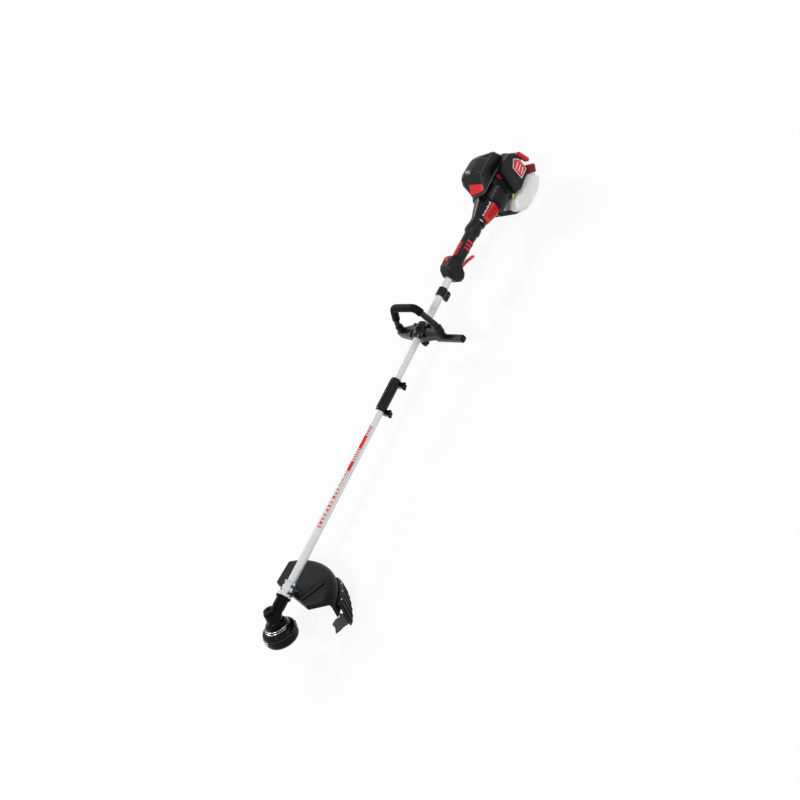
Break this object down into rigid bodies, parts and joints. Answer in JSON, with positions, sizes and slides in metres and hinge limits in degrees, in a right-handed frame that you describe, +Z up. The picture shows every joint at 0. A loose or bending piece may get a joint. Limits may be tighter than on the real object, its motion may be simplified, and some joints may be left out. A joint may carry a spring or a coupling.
{
  "type": "string trimmer",
  "caption": "Petrol string trimmer with a two-piece straight boom, bevel gear line head, wide rear guard, loop handle, throttle grip and rear engine with tank and stand.",
  "frame": {"origin": "middle of the engine stand's foot, on the ground the trimmer lies on", "axes": "+X along the boom from the cutting head to the engine (the boom's free run falls 0.88 degrees toward the engine), +Y to the operator's right, +Z up from the ground"},
  "size_m": [1.7899, 0.3417, 0.2581],
  "materials": {
    "black_plastic": "satin moulded plastic",
    "guard_plastic": "matte moulded plastic",
    "red_plastic": "satin",
    "dark_red_plastic": "satin",
    "boom_tube": "light grey, satin",
    "steel": "turned steel",
    "bright_steel": "satin",
    "dark_fasteners": "blackened",
    "zinc_casting": "as cast, satin",
    "engine_casting": "dark coated casting",
    "carburettor_metal": "bead blasted",
    "muffler_steel": "heat-proof dark coat",
    "foam": "fine closed foam",
    "tank_plastic": "milky moulded plastic",
    "fuel_hose": "clear yellowish hose",
    "cutting_line": "nylon line",
    "filter_foam": "oiled foam",
    "pulley_plastic": "natural nylon"
  },
  "bodies": {
    "trimmer": {"gear_housing": "engine_casting", "gear_cap": "black_plastic", "ball_bearings": "steel", "guard": "guard_plastic", "guard_skirt": "guard_plastic", "line_cutter": "dark_fasteners", "guard_bracket": "zinc_casting", "clamp_strap": "zinc_casting", "bracket_bolts": "dark_fasteners", "lower_tube": "boom_tube", "coupler_body": "black_plastic", "upper_tube": "boom_tube", "harness_clamp": "black_plastic", "throttle_housing_left": "black_plastic", "throttle_housing_right": "black_plastic", "grip_inlays": "red_plastic", "clutch_cover": "black_plastic", "vent_panel": "red_plastic", "fan_housing": "black_plastic", "engine_block": "engine_casting", "engine_shroud": "black_plastic", "muffler": "muffler_steel", "carburettor": "carburettor_metal", "air_filter": "filter_foam", "starter_housing": "black_plastic", "fuel_tank": "tank_plastic", "fuel_lines": "fuel_hose", "stand": "black_plastic"},
    "upper_drive": {"upper_drive_shaft": "steel", "clutch_drum": "steel"},
    "lower_drive": {"lower_drive_shaft": "steel", "bevel_pinion": "steel"},
    "head": {"output_shaft": "bright_steel", "bevel_gear": "steel", "drive_flange": "bright_steel", "head_housing": "black_plastic", "head_cover": "black_plastic", "knob_spring": "steel"},
    "knob": {"bump_knob": "black_plastic"},
    "spool": {"line_spool": "black_plastic", "line_coil": "cutting_line"},
    "crank": {"crankshaft": "steel", "flywheel": "zinc_casting"},
    "pulley": {"starter_pulley": "pulley_plastic"},
    "pull_grip": {"starter_grip": "red_plastic"},
    "front_wing_knob": {"coupler_knob_front": "black_plastic"},
    "rear_wing_knob": {"coupler_knob_rear": "black_plastic"},
    "lock_button": {"release_button": "black_plastic"},
    "loop_handle": {"handle_base": "black_plastic", "handle_cap": "black_plastic", "handle_loop": "black_plastic", "foam_grip": "foam", "barrier_bar": "black_plastic"},
    "loop_knob": {"handle_knob": "black_plastic"},
    "trigger": {"throttle_trigger": "red_plastic"},
    "rocker": {"stop_switch": "red_plastic"},
    "choke": {"choke_lever": "red_plastic"},
    "primer": {"primer_bulb": "red_plastic"},
    "filter_lid": {"filter_cover": "black_plastic"},
    "tank_cap": {"fuel_cap": "dark_red_plastic"}
  },
  "joints": [
    {"name": "upper_drive_spin", "type": "hinge", "parent": "trimmer", "child": "upper_drive", "pos_m": [-0.19793, 0, 0.13605], "axis": [0.9999, 0, -0.0154], "continuous": true},
    {"name": "lower_drive_spin", "type": "hinge", "parent": "trimmer", "child": "lower_drive", "pos_m": [-1.3008, 0, 0.15299], "axis": [0.9999, 0, -0.0154], "continuous": true},
    {"name": "head_spin", "type": "hinge", "parent": "trimmer", "child": "head", "pos_m": [-1.60077, 0, 0.15759], "axis": [0.5132, 0, 0.8582], "continuous": true},
    {"name": "knob_bump", "type": "slide", "parent": "head", "child": "knob", "axis": [0.5132, 0, 0.8582], "range_m": [0, 0.006], "stiffness_N_per_m": 2500, "springref_m": -0.003, "deforming": ["knob_spring"]},
    {"name": "spool_turn", "type": "hinge", "parent": "knob", "child": "spool", "pos_m": [-1.60077, 0, 0.15759], "axis": [0.5132, 0, 0.8582], "continuous": true},
    {"name": "crank_spin", "type": "hinge", "parent": "trimmer", "child": "crank", "pos_m": [-0.19793, 0, 0.13605], "axis": [0.9999, 0, -0.0154], "continuous": true},
    {"name": "starter_pull", "type": "slide", "parent": "trimmer", "child": "pull_grip", "axis": [0, -1, 0], "range_m": [0, 0.6], "stiffness_N_per_m": 10, "springref_m": -0.5},
    {"name": "pulley_spin", "type": "hinge", "parent": "trimmer", "child": "pulley", "pos_m": [-0.19793, 0, 0.13605], "axis": [0.9999, 0, -0.0154], "range_deg": [-5, 1150]},
    {"name": "front_wing_turn", "type": "hinge", "parent": "trimmer", "child": "front_wing_knob", "pos_m": [-0.9102, 0, 0.12449], "axis": [0, 1, 0], "continuous": true},
    {"name": "rear_wing_turn", "type": "hinge", "parent": "trimmer", "child": "rear_wing_knob", "pos_m": [-0.81021, 0, 0.12295], "axis": [0, 1, 0], "continuous": true},
    {"name": "lock_press", "type": "slide", "parent": "trimmer", "child": "lock_button", "axis": [-0.0154, 0, -0.9999], "range_m": [0, 0.0025], "stiffness_N_per_m": 2000, "springref_m": -0.002},
    {"name": "handle_shift", "type": "slide", "parent": "trimmer", "child": "loop_handle", "axis": [0.9999, 0, -0.0154], "range_m": [-0.06, 0.04]},
    {"name": "handle_knob_turn", "type": "hinge", "parent": "loop_handle", "child": "loop_knob", "pos_m": [-0.64134, 0, 0.11286], "axis": [0.0154, 0, 0.9999], "continuous": true},
    {"name": "trigger_squeeze", "type": "hinge", "parent": "trimmer", "child": "trigger", "pos_m": [-0.37022, 0, 0.1187], "axis": [0, -1, 0], "range_deg": [0, 14], "stiffness_Nm_per_rad": 1.5, "springref_deg": -6.88},
    {"name": "switch_rock", "type": "hinge", "parent": "trimmer", "child": "rocker", "pos_m": [-0.36931, 0, 0.17819], "axis": [0, 1, 0], "range_deg": [-12, 12]},
    {"name": "choke_swing", "type": "hinge", "parent": "trimmer", "child": "choke", "pos_m": [-0.04134, -0.054, 0.17366], "axis": [0, -1, 0], "range_deg": [0, 60]},
    {"name": "primer_press", "type": "slide", "parent": "trimmer", "child": "primer", "axis": [0.9999, 0, -0.0154], "range_m": [0, 0.003], "stiffness_N_per_m": 1200, "springref_m": -0.001},
    {"name": "filter_lid_off", "type": "slide", "parent": "trimmer", "child": "filter_lid", "axis": [0, -1, 0], "range_m": [0, 0.03]},
    {"name": "cap_off", "type": "slide", "parent": "trimmer", "child": "tank_cap", "axis": [0.6412, 0, 0.7674], "range_m": [0, 0.03]}
  ],
  "couplings": [
    {"joint": "lower_drive_spin", "follows": "upper_drive_spin", "ratio": 1},
    {"joint": "head_spin", "follows": "upper_drive_spin", "ratio": -0.70588},
    {"joint": "pulley_spin", "follows": "starter_pull", "rad_per_m": 33.333}
  ]
}
